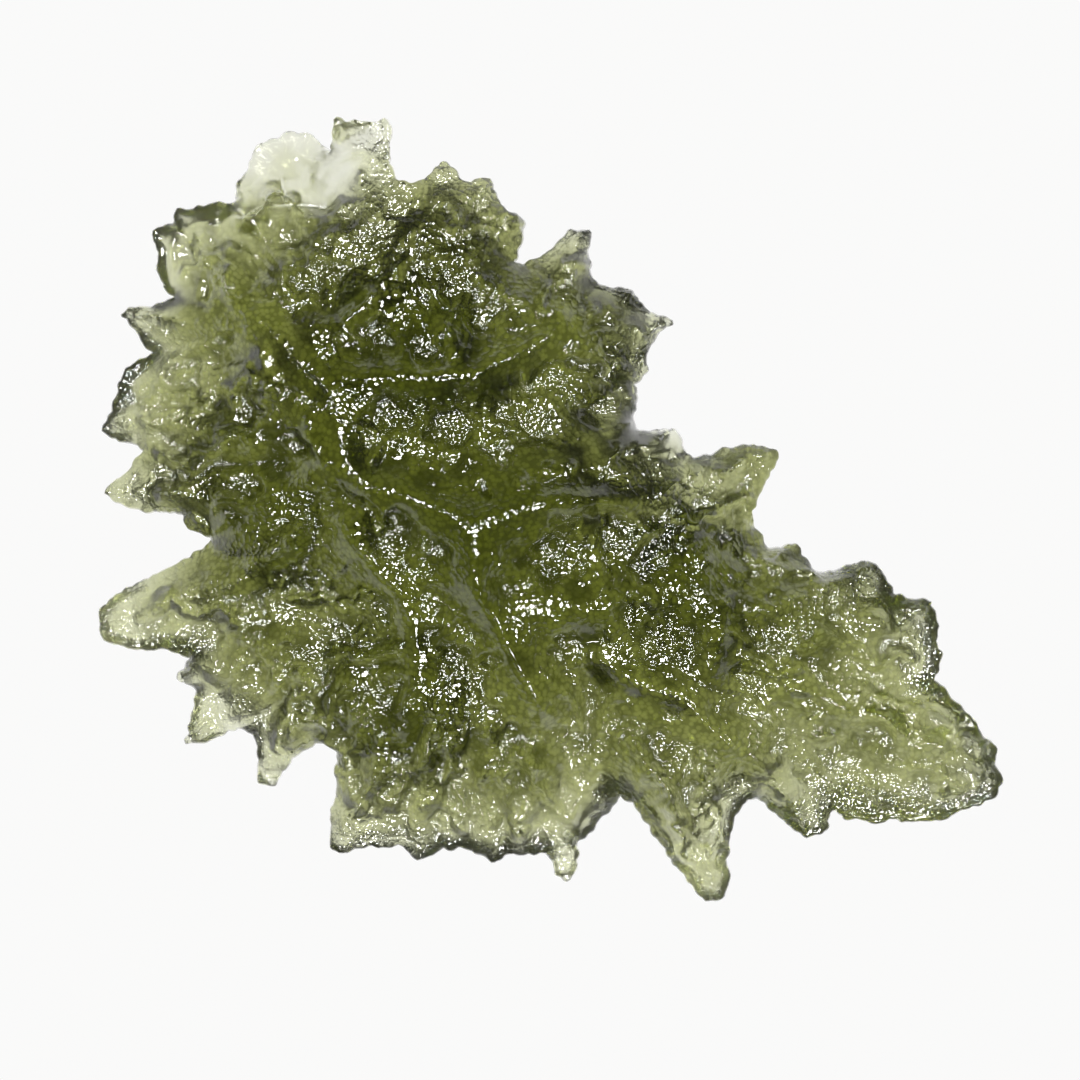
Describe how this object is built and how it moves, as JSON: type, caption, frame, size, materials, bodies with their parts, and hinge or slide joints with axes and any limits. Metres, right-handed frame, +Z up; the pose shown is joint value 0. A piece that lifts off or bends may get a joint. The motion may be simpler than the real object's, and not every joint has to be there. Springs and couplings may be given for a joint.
{
  "type": "moldavite",
  "caption": "Natural piece of etched green tektite glass: a flat, leaf-like stone ringed with thorny teeth, with sharp crests and round basins.",
  "frame": {"origin": "under the middle of the stone's box, on the surface that it rests on", "axes": "+X along the stone's longest side, from the long tongue to the tail; +Y towards the back edge with the clear flag; +Z up, out of the etched top face"},
  "size_m": [0.0316, 0.0274, 0.0082],
  "materials": {
    "tektite_glass": "see-through bottle-green natural glass, nearly clear where thin, with a wet-looking, finely pitted and fluted etched skin"
  },
  "bodies": {
    "root": {"moldavite": "tektite_glass"}
  },
  "joints": []
}
